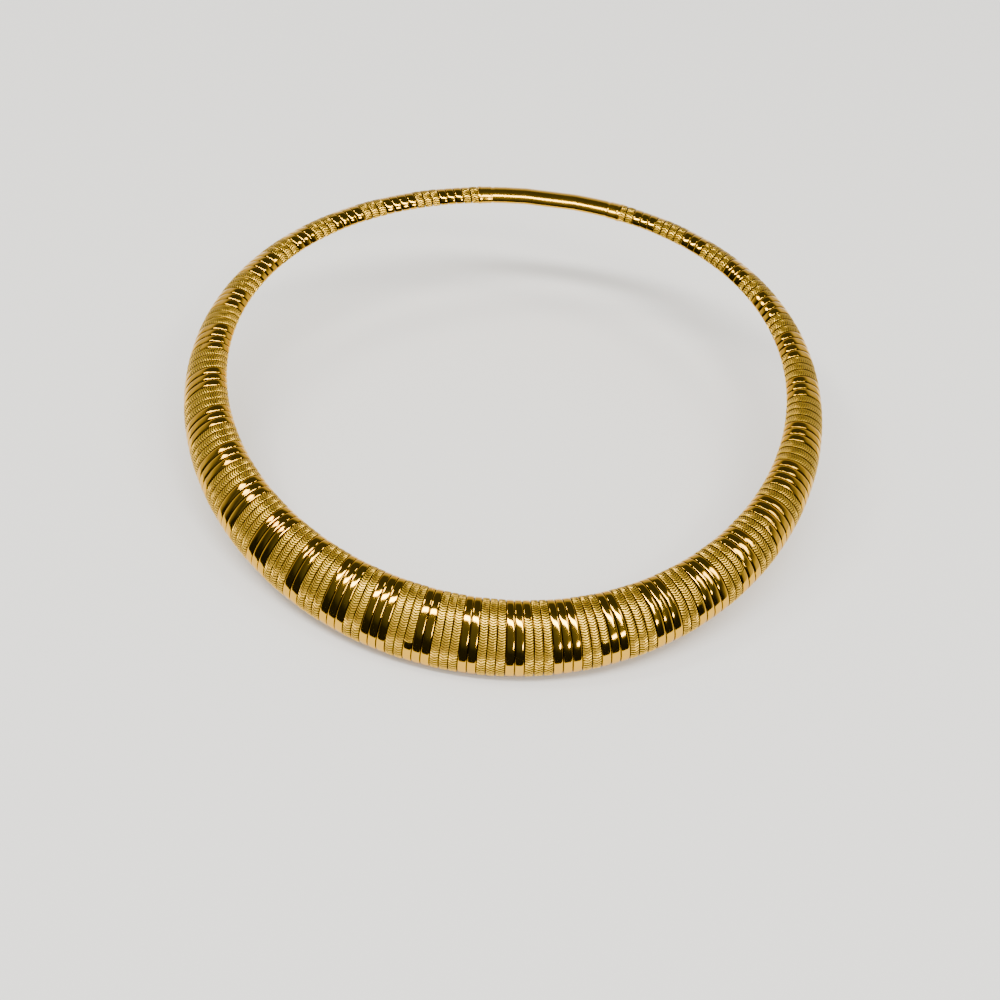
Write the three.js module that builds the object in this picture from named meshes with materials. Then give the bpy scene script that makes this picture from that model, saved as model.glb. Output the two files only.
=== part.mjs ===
// Collar choker of wound strip, closed round the neck.
//
// A profiled gold-tone strip is wound edge to edge into a hollow tube. The tube has a flat back
// that lies on the neck and a domed front, and it narrows evenly from the front centre to the
// back, where a plain clasp closes the loop. The turns lie closer than the links of a chain, so
// the tube is built as a row of hollow lengths, and each length shows its turns as ridges.
//
// Frame, millimetres: the origin is the middle of the neck opening. +Z runs up the neck, -Y
// points to the wearer's front, and +X is on the right of someone who faces the wearer.
// "Arc" is the distance along the loop from the front centre, growing towards +X.

import * as THREE from "three";

// ---- Driving dimensions: millimetres, and degrees where said ----

// The worn loop, along the middle of the tube's flat back.
const LOOP_HALF_WIDTH = 66.3;
const LOOP_HALF_DEPTH = 61.3;
const FRONT_FULLNESS = 3.7; // the front half is wider than the back half
const SIDES_BACK = 5.1; // the widest stretch lies behind the middle
const FRONT_DROP = 11.0; // the front sits lower on the neck, the back higher
const SIDES_RISE = 0.9;
const WORN_SHIFT = 1.8; // it sits a little to one side, as worn
const WORN_TIP = 1.0;

// The tube's section at the front centre, at the sides and at the back. "tip" is the angle in
// degrees by which the flat back leans outward, down the slope of the neck.
const SECTION = {
  width: { front: 15.9, side: 8.9, back: 7.7 },
  height: { front: 4.6, side: 4.3, back: 3.9 },
  tip: { front: 36.6, side: 29.7, back: 34.4 },
};
const DOME_WIDTH_POWER = 2.6; // superellipse powers: steep side walls under a low dome
const DOME_HEIGHT_POWER = 2.2;
const DOME_SEGMENTS = 6;

// The winding.
const TURN_PITCH = 1.92;
const TURNS_PER_LENGTH = 14;
const TUBE_LENGTHS = 14;
const GROOVE_DEPTH = 0.35;
const RIDGE_SHOULDER = 0.22; // share of a turn that each flank of its ridge takes
const TURN_LEAN = 1.0; // how far a turn drifts from its neck edge to its outer edge
const WALL = 0.9;
const BORE_STEPS = 4;

// The clasp, and the gap between neighbouring pieces.
const GAP = 0.3;
const CLASP_CHAMFER = 0.5;
const TONGUE_LENGTH = 4.0;
const TONGUE_INSET = WALL + GAP;

// ---- The loop ----

class WornLoop extends THREE.Curve {
  getPoint(t, target = new THREE.Vector3()) {
    const angle = loopAngle(t);
    const twice = 2 * angle;
    const x =
      LOOP_HALF_WIDTH * Math.sin(angle) + FRONT_FULLNESS * Math.sin(twice) + WORN_SHIFT * Math.cos(twice);
    const y = -LOOP_HALF_DEPTH * Math.cos(angle) + SIDES_BACK * (1 - Math.cos(twice));
    const z =
      -FRONT_DROP * Math.cos(angle) + SIDES_RISE * (1 - Math.cos(twice)) - WORN_TIP * Math.sin(angle);
    return target.set(x, y, z);
  }
}

// The angle round the loop is 0 at the front centre and half a turn at the clasp.
function loopAngle(t) {
  return 2 * Math.PI * (t - 0.5);
}

const loop = new WornLoop();
loop.arcLengthDivisions = 1440;
const LOOP_LENGTH = loop.getLength();
const TUBE_LENGTH = TUBE_LENGTHS * TURNS_PER_LENGTH * TURN_PITCH;
const CLASP_LENGTH = LOOP_LENGTH - TUBE_LENGTH - GAP;

// A size that runs smoothly through its front, side and back values.
function sizeAt(values, angle) {
  const mean = (values.front + values.back) / 4 + values.side / 2;
  const frontToBack = (values.front - values.back) / 2;
  const ends = (values.front + values.back) / 4 - values.side / 2;
  return mean + frontToBack * Math.cos(angle) + ends * Math.cos(2 * angle);
}

// Where the section stands at an arc, and its three directions: along the loop, across the flat
// back from the neck edge to the outer edge, and raised from the flat back to the dome.
function stationAt(arc) {
  const share = THREE.MathUtils.euclideanModulo(0.5 + arc / LOOP_LENGTH, 1);
  const t = loop.getUtoTmapping(share);
  const angle = loopAngle(t);
  const tip = THREE.MathUtils.degToRad(sizeAt(SECTION.tip, angle));
  const along = loop.getTangent(t);
  const outward = new THREE.Vector3(along.y, -along.x, 0).normalize();
  const across = outward.multiplyScalar(Math.cos(tip));
  across.z = -Math.sin(tip);
  across.addScaledVector(along, -across.dot(along)).normalize();
  const raised = new THREE.Vector3().crossVectors(across, along);
  return { middle: loop.getPoint(t), angle, across, raised };
}

// ---- Sections and solids ----

function signedPower(value, power) {
  return Math.sign(value) * Math.abs(value) ** power;
}

// The D outline, from the neck edge over the dome to the outer edge, drawn in by an inset. The
// flat back closes it.
function outline(width, height, inset) {
  const points = [];
  for (let i = 0; i <= DOME_SEGMENTS; i += 1) {
    const turn = Math.PI * (1 - i / DOME_SEGMENTS);
    const across = signedPower(Math.cos(turn), 2 / DOME_WIDTH_POWER);
    const raised = signedPower(Math.abs(Math.sin(turn)), 2 / DOME_HEIGHT_POWER);
    points.push(new THREE.Vector2((width / 2 - inset) * across, inset + (height - 2 * inset) * raised));
  }
  return points;
}

// One ring of points round the tube. The lean makes its outer edge run ahead of its neck edge.
function ringAt(arc, inset) {
  const here = stationAt(arc);
  const width = sizeAt(SECTION.width, here.angle);
  const height = sizeAt(SECTION.height, here.angle);
  return outline(width, height, inset).map((point) => {
    const station = stationAt(arc + (TURN_LEAN * point.x) / width);
    return station.middle
      .clone()
      .addScaledVector(station.across, point.x)
      .addScaledVector(station.raised, point.y);
  });
}

// A closed body through rings of equal count. A hollow body's rings lead back to the first one,
// along its bore, and a solid body's first and last rings are capped.
function bodyThrough(rings, hollow) {
  const count = rings[0].length;
  const positions = rings.flat().flatMap((point) => point.toArray());
  const index = [];
  const steps = hollow ? rings.length : rings.length - 1;
  for (let i = 0; i < steps; i += 1) {
    const here = i * count;
    const next = ((i + 1) % rings.length) * count;
    for (let j = 0; j < count; j += 1) {
      const k = (j + 1) % count;
      index.push(here + j, next + k, next + j);
      index.push(here + j, here + k, next + k);
    }
  }
  if (!hollow) {
    const last = (rings.length - 1) * count;
    for (let j = 1; j < count - 1; j += 1) {
      index.push(0, j + 1, j);
      index.push(last, last + j, last + j + 1);
    }
  }
  const geometry = new THREE.BufferGeometry();
  geometry.setAttribute("position", new THREE.Float32BufferAttribute(positions, 3));
  geometry.setIndex(index);
  geometry.computeVertexNormals();
  return geometry;
}

// ---- The wound tube ----

// One hollow length: a groove and a flat-topped ridge for every turn outside, and a plain bore.
function woundLength(startArc) {
  const endArc = startArc + TURNS_PER_LENGTH * TURN_PITCH;
  const rings = [ringAt(startArc + GAP / 2, GROOVE_DEPTH)];
  for (let turn = 0; turn < TURNS_PER_LENGTH; turn += 1) {
    const turnArc = startArc + turn * TURN_PITCH;
    rings.push(ringAt(turnArc + RIDGE_SHOULDER * TURN_PITCH, 0));
    rings.push(ringAt(turnArc + (1 - RIDGE_SHOULDER) * TURN_PITCH, 0));
    const grooveArc = turn < TURNS_PER_LENGTH - 1 ? turnArc + TURN_PITCH : endArc - GAP / 2;
    rings.push(ringAt(grooveArc, GROOVE_DEPTH));
  }
  for (let step = 0; step <= BORE_STEPS; step += 1) {
    const arc = THREE.MathUtils.lerp(endArc - GAP / 2, startArc + GAP / 2, step / BORE_STEPS);
    rings.push(ringAt(arc, WALL));
  }
  return bodyThrough(rings, true);
}

const stripMetal = new THREE.MeshStandardMaterial({ color: 0xd6a646, roughness: 0.22, metalness: 1 });

function woundTube() {
  const tube = new THREE.Group();
  for (let i = 0; i < TUBE_LENGTHS; i += 1) {
    const startArc = -TUBE_LENGTH / 2 + i * TURNS_PER_LENGTH * TURN_PITCH;
    const mesh = new THREE.Mesh(woundLength(startArc), stripMetal);
    mesh.name = `wound_length_${String(i + 1).padStart(2, "0")}`;
    tube.add(mesh);
  }
  return tube;
}

// ---- The clasp ----

const claspMetal = new THREE.MeshStandardMaterial({ color: 0xcb9b48, roughness: 0.28, metalness: 1 });

// A plain piece that carries the tube's section across the back, with a tongue into each end of
// the tube. Rows run from the tip of one tongue to the clasp's middle, and serve both ends.
function clasp() {
  const half = CLASP_LENGTH / 2;
  const rows = [
    { fromMiddle: half + TONGUE_LENGTH, inset: TONGUE_INSET },
    { fromMiddle: half, inset: TONGUE_INSET },
    { fromMiddle: half, inset: CLASP_CHAMFER },
    { fromMiddle: half - CLASP_CHAMFER, inset: 0 },
    { fromMiddle: half / 2, inset: 0 },
  ];
  const middleArc = LOOP_LENGTH / 2;
  const before = rows.map((row) => ringAt(middleArc - row.fromMiddle, row.inset));
  const after = rows.map((row) => ringAt(middleArc + row.fromMiddle, row.inset)).reverse();
  const mesh = new THREE.Mesh(bodyThrough([...before, ...after], false), claspMetal);
  mesh.name = "clasp";
  return mesh;
}

const collar = new THREE.Group();
collar.add(woundTube());
collar.add(clasp());

export default collar;
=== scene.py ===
import bpy
import numpy as np
from mathutils import Matrix, Vector


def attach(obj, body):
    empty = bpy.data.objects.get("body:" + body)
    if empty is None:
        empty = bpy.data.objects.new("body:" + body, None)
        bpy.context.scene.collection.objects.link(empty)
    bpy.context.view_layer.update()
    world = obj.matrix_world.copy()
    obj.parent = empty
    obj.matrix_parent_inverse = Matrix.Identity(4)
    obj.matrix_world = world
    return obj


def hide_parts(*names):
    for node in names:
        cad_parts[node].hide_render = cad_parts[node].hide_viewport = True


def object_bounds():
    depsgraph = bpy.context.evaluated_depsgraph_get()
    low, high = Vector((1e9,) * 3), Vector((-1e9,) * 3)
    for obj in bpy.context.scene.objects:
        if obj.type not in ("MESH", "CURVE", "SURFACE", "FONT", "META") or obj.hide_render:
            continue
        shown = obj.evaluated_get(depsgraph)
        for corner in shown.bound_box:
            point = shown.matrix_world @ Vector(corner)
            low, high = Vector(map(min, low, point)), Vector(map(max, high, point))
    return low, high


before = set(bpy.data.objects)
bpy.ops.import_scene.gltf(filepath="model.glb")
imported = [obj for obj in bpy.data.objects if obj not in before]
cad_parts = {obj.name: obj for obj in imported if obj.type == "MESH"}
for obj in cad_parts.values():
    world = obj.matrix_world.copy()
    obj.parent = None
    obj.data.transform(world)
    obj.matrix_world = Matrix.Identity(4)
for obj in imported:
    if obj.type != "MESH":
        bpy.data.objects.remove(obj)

cad_low, cad_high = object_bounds()

# ---- The wound strip ----
# One profiled brass strip, gold plated, is wound edge to edge into a flexible hollow tube with no
# solder between its turns. Stretches of the strip are mirror polished and stretches between them
# are milled with two rows of ticks. The tube is made here in one piece for each length in the frame.

MM = 0.001

# The worn loop, along the middle of the tube's flat back.
LOOP_HALF_WIDTH = 66.3 * MM
LOOP_HALF_DEPTH = 61.3 * MM
FRONT_FULLNESS = 3.7 * MM
SIDES_BACK = 5.1 * MM
FRONT_DROP = 11.0 * MM
SIDES_RISE = 0.9 * MM
WORN_SHIFT = 1.8 * MM
WORN_TIP = 1.0 * MM

# The tube's section at the front centre, at the sides and at the back, and the powers that shape
# the dome and the flat back, across and in height.
SECTION_WIDTH = (15.9 * MM, 8.9 * MM, 7.7 * MM)
SECTION_HEIGHT = (4.6 * MM, 4.3 * MM, 3.9 * MM)
SECTION_TIP = (np.radians(36.6), np.radians(29.7), np.radians(34.4))
DOME_POWERS = (2.6, 2.2)
BACK_POWERS = (7.0, 2.0)
EDGE_RISE = 0.55 * MM

# The winding: turns are counted along the strip, and turn 0 crosses the front close to its centre.
# They sit a little closer at the front, and their outer edges fan out less than the loop does.
TURN_PITCH = 1.92 * MM
TURN_OFFSET = 0.65 * MM
CROWDING = 2.25 * MM
CROWDING_REACH = 32 * MM
MOST_TURNS = 120
FAN_LEAN = -0.25 * MM
FAN_SLOPE = -0.026
FAN_REACH = 75 * MM
FAN_FADE = 120 * MM
FAN_OUT = (0.45, 0.80)
FAN_HOME = (0.82, 0.98)
LENGTH_COUNT = 14
TURNS_IN_LENGTH = 14
LENGTH_ARC = TURNS_IN_LENGTH * TURN_PITCH
STRIP_END_ARC = 187.2 * MM


def worn_loop(angle):
    """Points on the loop, and its slope by the angle: an ellipse with its front half made fuller by
    a second harmonic, its front dropped and its back raised, and a small shift to one side."""
    sin, cos = np.sin(angle), np.cos(angle)
    sin2, cos2 = np.sin(2 * angle), np.cos(2 * angle)
    points = np.stack([
        LOOP_HALF_WIDTH * sin + FRONT_FULLNESS * sin2 + WORN_SHIFT * cos2,
        -LOOP_HALF_DEPTH * cos + SIDES_BACK * (1 - cos2),
        -FRONT_DROP * cos + SIDES_RISE * (1 - cos2) - WORN_TIP * sin,
    ], axis=-1)
    slope = np.stack([
        LOOP_HALF_WIDTH * cos + 2 * FRONT_FULLNESS * cos2 - 2 * WORN_SHIFT * sin2,
        LOOP_HALF_DEPTH * sin + 2 * SIDES_BACK * sin2,
        FRONT_DROP * sin + 2 * SIDES_RISE * sin2 - WORN_TIP * cos,
    ], axis=-1)
    return points, slope


def unit(vectors):
    """Each vector divided by its length."""
    return vectors / np.linalg.norm(vectors, axis=-1, keepdims=True)


# The arc from the front centre at each loop angle.
LOOP_SAMPLES = 7201
ANGLES = np.linspace(-np.pi, np.pi, LOOP_SAMPLES)
LOOP_STEPS = np.linalg.norm(np.diff(worn_loop(ANGLES)[0], axis=0), axis=1)
ARCS = np.concatenate([[0.0], np.cumsum(LOOP_STEPS)])
LOOP_LENGTH = ARCS[-1]
ARCS = ARCS - np.interp(0.0, ANGLES, ARCS)


def angle_at(arc):
    """The loop angle at an arc from the front centre, which may run past the back."""
    wrapped = np.mod(arc - ARCS[0], LOOP_LENGTH) + ARCS[0]
    return np.interp(wrapped, ARCS, ANGLES)


def size_at(sizes, angle):
    """A size that runs through its front, side and back values on the first two cosines."""
    front, side, back = sizes
    mean = (front + back) / 4 + side / 2
    first = (front - back) / 2
    second = (front + back) / 4 - side / 2
    return mean + first * np.cos(angle) + second * np.cos(2 * angle)


def outline(turn, width, height):
    """The D outline at an outline angle: half of a superellipse for the dome where the angle's sine
    is positive, half of a flatter one for the back. Returns x, y and the outward normal."""
    cos, sin = -np.cos(turn), np.sin(turn)
    dome = sin >= 0
    power_x = np.where(dome, DOME_POWERS[0], BACK_POWERS[0])
    power_y = np.where(dome, DOME_POWERS[1], BACK_POWERS[1])
    rise = np.where(dome, height - EDGE_RISE, EDGE_RISE)
    u = np.sign(cos) * np.abs(cos) ** (2 / power_x)
    v = np.sign(sin) * np.abs(sin) ** (2 / power_y)
    slope_x = power_x * np.sign(u) * np.abs(u) ** (power_x - 1) / (width / 2)
    slope_y = power_y * np.sign(v) * np.abs(v) ** (power_y - 1) / rise
    size = np.hypot(slope_x, slope_y)
    return u * width / 2, EDGE_RISE + rise * v, slope_x / size, slope_y / size


# For sections all round the loop: the outline angle at each share of the perimeter, counted from
# the middle of the flat back towards the neck edge, and the perimeter itself.
SHARE_SAMPLES = 1025
STATION_SAMPLES = 241
OUTLINE_SAMPLES = 6001
SHARES = np.linspace(0, 1, SHARE_SAMPLES)
STATION_ANGLES = np.linspace(-np.pi, np.pi, STATION_SAMPLES)
OUTLINE_ANGLES = np.linspace(-np.pi / 2, 3 * np.pi / 2, OUTLINE_SAMPLES)
SHARE_TABLE = np.empty((STATION_SAMPLES, SHARE_SAMPLES))
PERIMETERS = np.empty(STATION_SAMPLES)
for row, station in enumerate(STATION_ANGLES):
    station_width = size_at(SECTION_WIDTH, station)
    station_height = size_at(SECTION_HEIGHT, station)
    x, y, _, _ = outline(OUTLINE_ANGLES, station_width, station_height)
    lengths = np.concatenate([[0.0], np.cumsum(np.hypot(np.diff(x), np.diff(y)))])
    PERIMETERS[row] = lengths[-1]
    SHARE_TABLE[row] = np.interp(SHARES * lengths[-1], lengths, OUTLINE_ANGLES)


def perimeter_at(arc):
    """The section's perimeter at an arc."""
    return np.interp(angle_at(arc), STATION_ANGLES, PERIMETERS)


def outline_turn(angle, share):
    """The outline angle at a share of the perimeter, by interpolation in the table both ways."""
    column = np.mod(share, 1.0) * (SHARE_SAMPLES - 1)
    row = (angle + np.pi) / (2 * np.pi) * (STATION_SAMPLES - 1)
    left = np.clip(column.astype(int), 0, SHARE_SAMPLES - 2)
    low = np.clip(row.astype(int), 0, STATION_SAMPLES - 2)
    across, down = column - left, row - low
    upper = SHARE_TABLE[low, left] * (1 - across) + SHARE_TABLE[low, left + 1] * across
    lower = SHARE_TABLE[low + 1, left] * (1 - across) + SHARE_TABLE[low + 1, left + 1] * across
    return upper * (1 - down) + lower * down


def on_tube(arc, share, depth):
    """Points on the tube: the loop's point at the arc, plus the outline's point at the share of the
    perimeter, sunk by a depth along the outline's normal, in the section's two directions."""
    angle = angle_at(arc)
    middle, slope = worn_loop(angle)
    along = unit(slope)
    tip = size_at(SECTION_TIP, angle)[..., None]
    level = unit(np.stack([along[..., 1], -along[..., 0], np.zeros_like(angle)], axis=-1))
    down = np.array([0.0, 0.0, -1.0])
    across = level * np.cos(tip) + down * np.sin(tip)
    across = unit(across - np.sum(across * along, axis=-1, keepdims=True) * along)
    raised = np.cross(across, along)
    turn = outline_turn(angle, share)
    x, y, nx, ny = outline(turn, size_at(SECTION_WIDTH, angle), size_at(SECTION_HEIGHT, angle))
    return middle + across * (x - depth * nx)[..., None] + raised * (y - depth * ny)[..., None]


def arc_of(turn):
    """The arc of the strip's centre line at a turn: an even pitch, less a crowding towards the front
    that levels off on both sides as a hyperbolic tangent."""
    even = TURN_PITCH * turn
    return even + TURN_OFFSET - CROWDING * np.tanh(even / CROWDING_REACH)


def turn_at(arc):
    """The turn whose centre line stands at an arc, from a fine table of arc_of."""
    turns = np.linspace(-MOST_TURNS, MOST_TURNS, 200 * MOST_TURNS + 1)
    return float(np.interp(arc, arc_of(turns), turns))


def smooth_step(value, low, high):
    """Nought below low, one above high, and three squares less two cubes of the way between."""
    way = np.clip((value - low) / (high - low), 0, 1)
    return way * way * (3 - 2 * way)


def fanned(arc, share):
    """The arc moved by the turns' lean: nothing on the neck side, growing as a smooth step from the
    crown to the outer edge and back under it, straight in the arc near the front and fading towards
    the back as the exponential of a fourth power."""
    side = np.mod(share, 1.0)
    step = smooth_step(side, *FAN_OUT) * (1 - smooth_step(side, *FAN_HOME))
    lean = FAN_LEAN * np.exp(-(arc / FAN_REACH) ** 4)
    spread = FAN_SLOPE * arc * np.exp(-(arc / FAN_FADE) ** 4)
    return arc + step * (lean + spread)


# The strip's own section: where each point lies across the pitch, how deep it is below the tube's
# outline, and how much of the ticks' depth it takes. The first rows are the underside, the tongue
# that slips under the next turn, and the foot above it. The last FACE_POINTS rows are the face that
# shows, from foot to foot.
STRIP_SECTION = np.array([
    # across, depth in mm, ticks
    (-0.492, 0.400, 0.0),
    (0.680, 0.530, 0.0),
    (0.680, 0.450, 0.0),
    (0.470, 0.430, 0.0),
    (0.470, 0.360, 0.0),
    (0.452, 0.215, 0.0),
    (0.420, 0.100, 0.2),
    (0.360, 0.032, 1.0),
    (0.230, 0.006, 1.0),
    (0.000, 0.000, 0.4),
    (-0.240, 0.006, 1.0),
    (-0.390, 0.030, 1.0),
    (-0.445, 0.075, 0.1),
    (-0.478, 0.150, 0.0),
    (-0.492, 0.320, 0.0),
])
FACE_POINTS = 11

# The two finishes take turns along the strip. The turns where each polished stretch starts and
# ends, from the back round by the left side, the front and the right side.
POLISHED_STRETCHES = np.array([
    # starts and ends, in turns
    (-96.6, -93.2), (-89.8, -86.4), (-83.0, -79.6), (-76.4, -73.0), (-69.8, -66.4), (-63.2, -59.8),
    (-56.8, -53.5), (-50.4, -47.2), (-44.0, -41.0), (-38.0, -35.0), (-32.0, -29.0), (-26.0, -23.0),
    (-20.1, -18.0), (-15.0, -12.0), (-10.0, -7.0), (-4.36, -2.05), (1.0, 3.0), (6.0, 8.4),
    (11.0, 14.0), (16.6, 19.0), (22.0, 25.0), (27.6, 31.0), (33.6, 36.5), (39.5, 43.0),
    (45.3, 48.9), (51.9, 55.2), (58.8, 62.2), (65.3, 68.7), (72.0, 75.4), (78.8, 82.2),
    (85.6, 89.0), (92.4, 95.8),
])

# Columns of points stand closer on the milled stretches, where each chevron has one cut column and
# two proud ones. The two rows of ticks lean back from the strip's middle as far as CHEVRON_EDGE,
# and a point that takes more than MILLED_SHARE of the ticks has the milled finish.
POLISHED_STEP = 0.26 * MM
CHEVRON_PITCH = 0.54 * MM
CHEVRON_SLANT = 0.36 * MM
CHEVRON_EDGE = 0.44
TICK_DEPTH = 0.14 * MM
TICK_PATTERN = np.array([1.0, 0.0, 0.0])
MILLED_FADE = 0.4 * MM
MILLED_SHARE = 0.05


def strip_columns(first, last):
    """The turns at which columns of points stand between two turns, how milled each is, and which
    are cut. Both kinds of stretch are split evenly, and milling fades in a straight line over
    MILLED_FADE at each of its ends."""
    edges = POLISHED_STRETCHES.ravel()
    inside = edges[(edges > first) & (edges < last)]
    marks = np.concatenate([[first], inside, [last]])
    turns, milled, cut = [], [], []
    for start, end in zip(marks[:-1], marks[1:]):
        middle = (start + end) / 2
        length = (end - start) * perimeter_at(np.array(arc_of(middle)))
        is_polished = np.searchsorted(edges, middle) % 2 == 1
        if is_polished:
            count = max(2, int(round(length / POLISHED_STEP)))
            fade = np.zeros(count)
            pattern = np.zeros(count)
        else:
            count = len(TICK_PATTERN) * max(1, int(round(length / CHEVRON_PITCH)))
            place = np.arange(count) / count * length
            head = place if start != first else np.full(count, MILLED_FADE)
            tail = length - place if end != last else np.full(count, MILLED_FADE)
            fade = np.clip(np.minimum(head, tail) / MILLED_FADE, 0, 1)
            pattern = np.resize(TICK_PATTERN, count)
        turns.append(start + (end - start) * np.arange(count) / count)
        milled.append(fade)
        cut.append(pattern)
    turns.append(np.array([last]))
    milled.append(milled[-1][-1:])
    cut.append(np.zeros(1))
    return np.concatenate(turns), np.concatenate(milled), np.concatenate(cut)


SHARP_ANGLE = np.radians(28)


def grid_mesh(name, points, attributes):
    """A closed solid over a grid of points: every column is a closed ring, and the first and last
    rings are capped. attributes maps a name to one number for each point."""
    columns, ring = points.shape[:2]
    index = np.arange(columns * ring).reshape(columns, ring)
    here, ahead = index[:-1], index[1:]
    quads = np.stack([here, np.roll(here, -1, 1), np.roll(ahead, -1, 1), ahead], axis=-1)
    faces = quads.reshape(-1, 4).tolist()
    faces += [index[0, ::-1].tolist(), index[-1].tolist()]
    mesh = bpy.data.meshes.new(name)
    mesh.from_pydata(points.reshape(-1, 3).tolist(), [], faces)
    for key, values in attributes.items():
        layer = mesh.attributes.new(key, "FLOAT", "POINT")
        layer.data.foreach_set("value", np.ascontiguousarray(values, dtype=np.float32).ravel())
    mesh.shade_smooth()
    mesh.set_sharp_from_angle(angle=SHARP_ANGLE)
    piece = bpy.data.objects.new(name, mesh)
    bpy.context.scene.collection.objects.link(piece)
    return piece


def wound_strip(name, first, last):
    """A stretch of the strip as a solid: column j of its section stands at turn t_j, point i of it
    at the arc t_j + across_i of a pitch, the ticks leaning back from the middle as chevrons."""
    turns, milled, cut = strip_columns(first, last)
    across, depth, takes_ticks = STRIP_SECTION.T
    perimeter = perimeter_at(arc_of(turns))
    lean = CHEVRON_SLANT * np.minimum(np.abs(across), CHEVRON_EDGE) / CHEVRON_EDGE
    lean[:-FACE_POINTS] = 0.0
    turn = turns[:, None] - milled[:, None] * lean[None, :] / perimeter[:, None]
    arc = fanned(arc_of(turn + across[None, :]), turn)
    sunk = depth[None, :] * MM + (milled * cut)[:, None] * takes_ticks[None, :] * TICK_DEPTH
    points = on_tube(arc, np.mod(turn, 1.0), sunk)
    shape = points.shape[:2]
    on_face = (takes_ticks > MILLED_SHARE)[None, :]
    return grid_mesh(name, points, {
        "milled": milled[:, None] * on_face,
        "cut": (milled * cut)[:, None] * on_face,
        "along": np.broadcast_to((turns * perimeter)[:, None] / MM, shape),
        "across": np.broadcast_to(across[None, :], shape),
    })


class Wire:
    """A shader socket. Operators on wires add Math nodes, and node() adds any other node, with its
    settings first and then the values or wires of its sockets."""

    def __init__(self, tree, socket=None):
        self.tree = tree
        self.socket = socket

    def node(self, kind, settings, sockets, out=0):
        made = self.tree.nodes.new(kind)
        for key, value in settings.items():
            if key == "stops":
                ramp = made.color_ramp.elements
                while len(ramp) < len(value):
                    ramp.new(0.5)
                for stop, (position, colour) in zip(ramp, value):
                    stop.position = position
                    stop.color = (*colour, 1.0)
            else:
                setattr(made, key, value)
        for key, value in sockets.items():
            if isinstance(value, Wire):
                self.tree.links.new(value.socket, made.inputs[key])
            else:
                made.inputs[key].default_value = value
        return Wire(self.tree, made.outputs[out]) if len(made.outputs) else None

    def __add__(self, other):
        return self.node("ShaderNodeMath", {"operation": "ADD"}, {0: self, 1: other})

    def __mul__(self, other):
        return self.node("ShaderNodeMath", {"operation": "MULTIPLY"}, {0: self, 1: other})

    __radd__ = __add__
    __rmul__ = __mul__


def fresh_material(name):
    """A new material with no nodes, and a wire to build them from."""
    material = bpy.data.materials.new(name)
    material.use_nodes = True
    material.node_tree.nodes.clear()
    return material, Wire(material.node_tree)


GOLD = (0.79, 0.43, 0.03, 1.0)
# The near-black gold is painted shade, mixed in where the grooves between turns and the tick cuts fall
# into shade.
GOLD_PAINTED_SHADE = (0.05, 0.022, 0.004, 1.0)
GOLD_MILLED = (1.0, 0.60, 0.05, 1.0)
SMOOTH = {"interpolation_type": "SMOOTHSTEP"}
COLOURS = {"data_type": "RGBA"}
FROM_OBJECT = 3
AS_NUMBER = 2
AS_COLOUR = 2

POLISHED_ROUGHNESS = 0.04
MILLED_ROUGHNESS = 0.22
HAIRLINE_ROUGHNESS = 0.05
CLOUD_ROUGHNESS = 0.04
HAIRLINES_ALONG = 0.6
HAIRLINES_ACROSS = 60.0
CLOUD_SCALE = 160.0
# Where the painted shade of the grooves and ticks starts and ends, and how far towards the near-black
# gold it goes.
GROOVE_EDGES = (0.405, 0.465)
GROOVE_PAINTED_SHADE = 0.9
TICK_EDGES = (0.08, 0.62)
TICK_PAINTED_SHADE = 0.95
HAIRLINE_BUMP = 0.02
HAIRLINE_HEIGHT = 0.05 * MM


def strip_gold():
    """Gold plate on the strip: near mirror where polished, softer where milled, with hairlines along
    the strip, with painted shade darkening the grooves between turns and the tick cuts, and cloudy
    with fine wear. Roughness is the polished value plus a share of the milling, the hairlines and the
    cloud."""
    material, wire = fresh_material("strip gold")
    milled, along, across, cut = [
        wire.node("ShaderNodeAttribute", {"attribute_name": name}, {}, out=AS_NUMBER)
        for name in ("milled", "along", "across", "cut")
    ]
    place = wire.node("ShaderNodeTexCoord", {}, {}, out=FROM_OBJECT)
    strip = wire.node("ShaderNodeCombineXYZ", {},
                      {0: along * HAIRLINES_ALONG, 1: across * HAIRLINES_ACROSS})
    hairlines = wire.node("ShaderNodeTexNoise", {}, {"Vector": strip, "Scale": 1.0, "Detail": 4.0})
    cloud = wire.node("ShaderNodeTexNoise", {},
                      {"Vector": place, "Scale": CLOUD_SCALE, "Detail": 3.0})
    from_middle = wire.node("ShaderNodeMath", {"operation": "ABSOLUTE"}, {0: across})
    # Painted shade: the colour is darkened towards near-black gold in the grooves between turns and in
    # the cut ticks.
    groove_shade = wire.node("ShaderNodeMapRange", SMOOTH,
                       {"Value": from_middle, "From Min": GROOVE_EDGES[0], "From Max": GROOVE_EDGES[1]})
    ticks = wire.node("ShaderNodeMapRange", SMOOTH,
                      {"Value": cut, "From Min": TICK_EDGES[0], "From Max": TICK_EDGES[1]})
    painted_shade = wire.node("ShaderNodeMath", {"operation": "MAXIMUM"},
                     {0: groove_shade * GROOVE_PAINTED_SHADE, 1: ticks * TICK_PAINTED_SHADE})
    plate = wire.node("ShaderNodeMix", COLOURS,
                      {"Factor": milled, "A": GOLD, "B": GOLD_MILLED}, out=AS_COLOUR)
    colour = wire.node("ShaderNodeMix", COLOURS,
                       {"Factor": painted_shade, "A": plate, "B": GOLD_PAINTED_SHADE}, out=AS_COLOUR)
    worn = hairlines * HAIRLINE_ROUGHNESS + cloud * CLOUD_ROUGHNESS
    roughness = POLISHED_ROUGHNESS + milled * MILLED_ROUGHNESS + worn
    bump = wire.node("ShaderNodeBump", {},
                     {"Strength": HAIRLINE_BUMP, "Distance": HAIRLINE_HEIGHT, "Height": hairlines})
    shader = wire.node("ShaderNodeBsdfPrincipled", {},
                       {"Base Color": colour, "Metallic": 1.0, "Roughness": roughness,
                        "Normal": bump})
    wire.node("ShaderNodeOutputMaterial", {}, {"Surface": shader})
    return material


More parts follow.
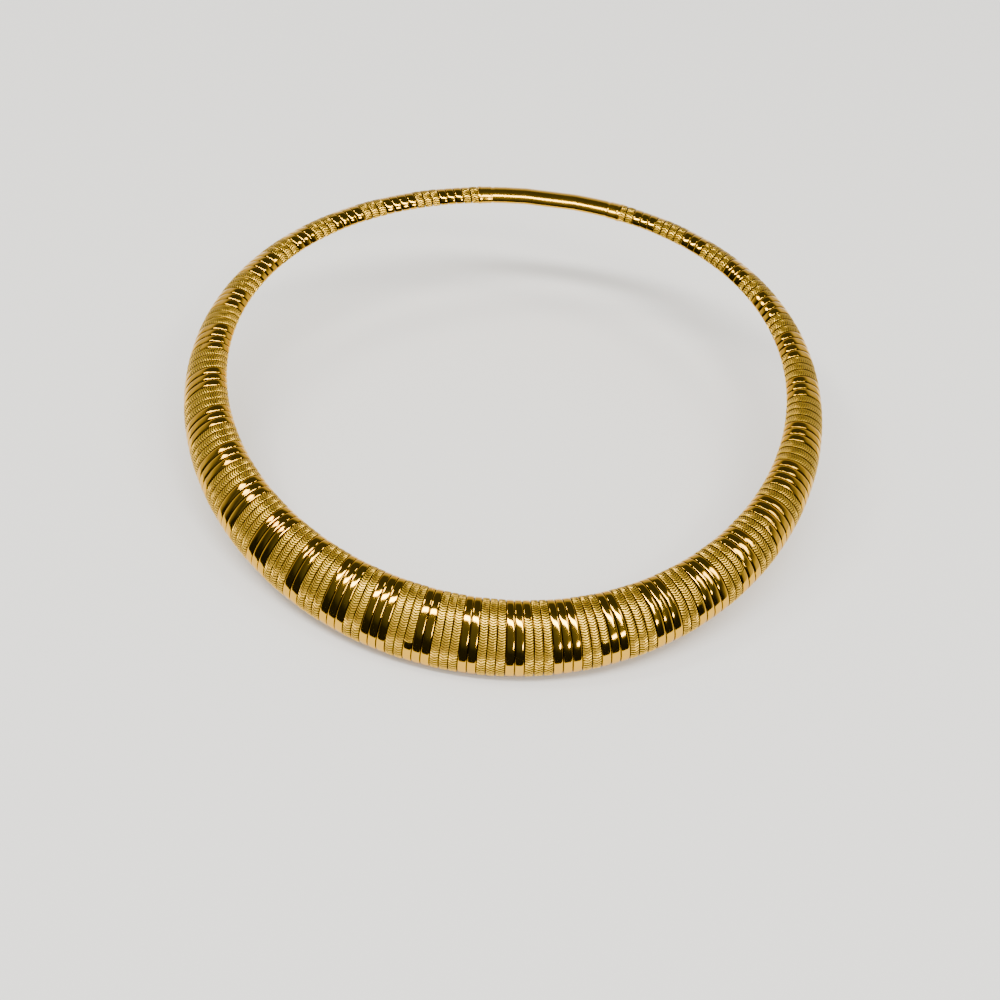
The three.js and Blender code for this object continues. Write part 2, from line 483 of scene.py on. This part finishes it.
STRIP_GOLD = strip_gold()
joins = [round(turn_at(LENGTH_ARC * (number - LENGTH_COUNT / 2)))
         for number in range(1, LENGTH_COUNT)]
strip_ends = [turn_at(-STRIP_END_ARC), *joins, turn_at(STRIP_END_ARC)]
for number in range(LENGTH_COUNT):
    label = f"{number + 1:02d}"
    strip = wound_strip(f"wound_strip_{label}", strip_ends[number], strip_ends[number + 1])
    strip.data.materials.append(STRIP_GOLD)
    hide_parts(f"wound_length_{label}")
    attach(strip, "root")

# ---- The clasp ----
# A plain gold-plated box of the tube's own section closes the loop behind the neck. A sleeve at
# each end is pressed over the last turn of the strip.

TUBE_END = LENGTH_COUNT / 2 * LENGTH_ARC
CLASP_PROFILE = np.array([
    # distance beyond the end of the tube, sunk below the tube's outline, in mm
    (-2.6, 0.90),
    (-2.6, 0.02),
    (-2.5, -0.10),
    (-2.3, -0.16),
    (-1.9, -0.16),
    (-1.7, -0.08),
    (-1.4, -0.06),
    (0.4, -0.06),
    (0.6, 0.00),
    (0.9, 0.10),
    (1.2, 0.06),
    (1.5, 0.00),
    (4.0, 0.00),
    (9.0, 0.00),
])
RING_POINTS = 96


def clasp_solid():
    """A solid through rings of the tube's outline: the profile's rows on both ends of the gap in the
    tube, mirrored about its middle."""
    reach, sunk = CLASP_PROFILE.T * MM
    arcs = np.concatenate([TUBE_END + reach, (LOOP_LENGTH - TUBE_END - reach)[::-1]])
    sunk = np.concatenate([sunk, sunk[::-1]])
    shares = np.arange(RING_POINTS) / RING_POINTS
    grids = np.broadcast_arrays(arcs[:, None], shares[None, :], sunk[:, None])
    return grid_mesh("clasp_box", on_tube(*grids), {})


CLASP_ROUGHNESS = 0.1
CLASP_WEAR = 0.12
CLASP_WEAR_SCALE = 220.0


def clasp_gold():
    """Plain polished gold plate with soft wear: a roughness raised by a cloud."""
    material, wire = fresh_material("clasp gold")
    place = wire.node("ShaderNodeTexCoord", {}, {}, out=FROM_OBJECT)
    cloud = wire.node("ShaderNodeTexNoise", {},
                      {"Vector": place, "Scale": CLASP_WEAR_SCALE, "Detail": 5.0})
    shader = wire.node("ShaderNodeBsdfPrincipled", {},
                       {"Base Color": GOLD, "Metallic": 1.0,
                        "Roughness": CLASP_ROUGHNESS + cloud * CLASP_WEAR})
    wire.node("ShaderNodeOutputMaterial", {}, {"Surface": shader})
    return material


clasp = clasp_solid()
clasp.data.materials.append(clasp_gold())
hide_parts("clasp")
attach(clasp, "root")

# ---- Floor, light and camera ----
# A plain pale floor just under the collar's lowest point, soft studio light from above, the right
# front and both sides, a room that is dim in front for the metal to mirror, and the camera above
# the wearer's front.

FLOOR_DROP = 1.0 * MM
FLOOR_HALF = 6.0

floor_level = cad_low.z - FLOOR_DROP
floor_mesh = bpy.data.meshes.new("floor")
corners = [(x * FLOOR_HALF, y * FLOOR_HALF, floor_level)
           for x, y in ((-1, -1), (1, -1), (1, 1), (-1, 1))]
floor_mesh.from_pydata(corners, [], [(0, 1, 2, 3)])
floor = bpy.data.objects.new("floor", floor_mesh)
bpy.context.scene.collection.objects.link(floor)

PAPER = (0.80, 0.79, 0.77, 1.0)
PAPER_ROUGHNESS = 0.9
paper, wire = fresh_material("pale paper")
shader = wire.node("ShaderNodeBsdfPrincipled", {},
                   {"Base Color": PAPER, "Roughness": PAPER_ROUGHNESS})
wire.node("ShaderNodeOutputMaterial", {}, {"Surface": shader})
floor_mesh.materials.append(paper)

# What the metal mirrors, from level to straight up: pale behind and at the sides, and dim in front.
# Everything else gets an even light.
SKY_STOPS = [
    (0.0, (0.95, 0.95, 0.95)),
    (0.38, (0.80, 0.80, 0.80)),
    (0.66, (0.07, 0.08, 0.085)),
    (1.0, (0.05, 0.06, 0.065)),
]
DIM_STOPS = [
    (0.0, (0.66, 0.66, 0.66)),
    (0.02, (0.012, 0.015, 0.020)),
    (0.62, (0.015, 0.020, 0.026)),
    (0.78, (0.09, 0.11, 0.13)),
    (1.0, (0.07, 0.09, 0.10)),
]
DIM_EDGES = (0.05, -0.30)
EVEN_LIGHT = (1.1, 1.1, 1.09, 1.0)
GLOSSY_RAY = 3

world = bpy.data.worlds.new("studio")
bpy.context.scene.world = world
world.use_nodes = True
world.node_tree.nodes.clear()
wire = Wire(world.node_tree)
direction = wire.node("ShaderNodeTexCoord", {}, {}, out=0)
facing = wire.node("ShaderNodeSeparateXYZ", {}, {0: direction}, out=1)
height = wire.node("ShaderNodeSeparateXYZ", {}, {0: direction}, out=2)
tone = wire.node("ShaderNodeValToRGB", {"stops": SKY_STOPS}, {0: height})
dim = wire.node("ShaderNodeValToRGB", {"stops": DIM_STOPS}, {0: height})
in_front = wire.node("ShaderNodeMapRange", SMOOTH,
                     {"Value": facing, "From Min": DIM_EDGES[0], "From Max": DIM_EDGES[1]})
room = wire.node("ShaderNodeMix", COLOURS, {"Factor": in_front, "A": tone, "B": dim}, out=AS_COLOUR)
mirrored = wire.node("ShaderNodeLightPath", {}, {}, out=GLOSSY_RAY)
shown = wire.node("ShaderNodeMix", COLOURS,
                  {"Factor": mirrored, "A": EVEN_LIGHT, "B": room}, out=AS_COLOUR)
glow = wire.node("ShaderNodeBackground", {}, {"Color": shown, "Strength": 1.0})
wire.node("ShaderNodeOutputWorld", {}, {"Surface": glow})


def softbox(name, place, size, power, tint):
    """A rectangular soft light at a place, turned to face the origin."""
    lamp = bpy.data.lights.new(name, "AREA")
    lamp.shape = "RECTANGLE"
    lamp.size, lamp.size_y = size
    lamp.energy = power
    lamp.color = tint
    holder = bpy.data.objects.new(name, lamp)
    holder.location = place
    holder.rotation_euler = (-Vector(place)).to_track_quat("-Z", "Y").to_euler()
    bpy.context.scene.collection.objects.link(holder)


COOL_LAMP = (1.0, 0.99, 0.96)
WARM_LAMP = (1.0, 0.96, 0.86)
softbox("overhead", (0.0, -0.40, 1.15), (1.3, 0.16), 18.0, COOL_LAMP)
softbox("front right", (0.60, -0.66, 0.86), (0.34, 0.12), 3.0, WARM_LAMP)
softbox("left window", (-0.78, 0.05, 1.05), (0.26, 0.34), 4.0, WARM_LAMP)
softbox("right window", (0.78, 0.05, 1.05), (0.24, 0.34), 3.0, WARM_LAMP)

CAMERA_AIM = Vector((1.97, -14.83, -16.02)) * MM
CAMERA_AZIMUTH = np.radians(10.39)
CAMERA_ELEVATION = np.radians(43.0)
CAMERA_ROLL = np.radians(2.81)
CAMERA_DISTANCE = 449.15 * MM
LENS = 72.35
SENSOR = 36.0
NEAREST = 0.01
FARTHEST = 50.0

# The camera's own directions: back from the collar, level to its right, and upright, then rolled.
back = Vector((
    np.sin(CAMERA_AZIMUTH) * np.cos(CAMERA_ELEVATION),
    -np.cos(CAMERA_AZIMUTH) * np.cos(CAMERA_ELEVATION),
    np.sin(CAMERA_ELEVATION),
))
level = Vector((np.cos(CAMERA_AZIMUTH), np.sin(CAMERA_AZIMUTH), 0.0))
upright = back.cross(level)
right = level * np.cos(CAMERA_ROLL) + upright * np.sin(CAMERA_ROLL)
up = upright * np.cos(CAMERA_ROLL) - level * np.sin(CAMERA_ROLL)

camera = bpy.data.objects.new("camera", bpy.data.cameras.new("camera"))
camera.data.lens = LENS
camera.data.sensor_width = SENSOR
camera.data.clip_start = NEAREST
camera.data.clip_end = FARTHEST
camera.matrix_world = Matrix((right, up, back)).transposed().to_4x4()
camera.location = CAMERA_AIM + back * CAMERA_DISTANCE
bpy.context.scene.collection.objects.link(camera)
bpy.context.scene.camera = camera
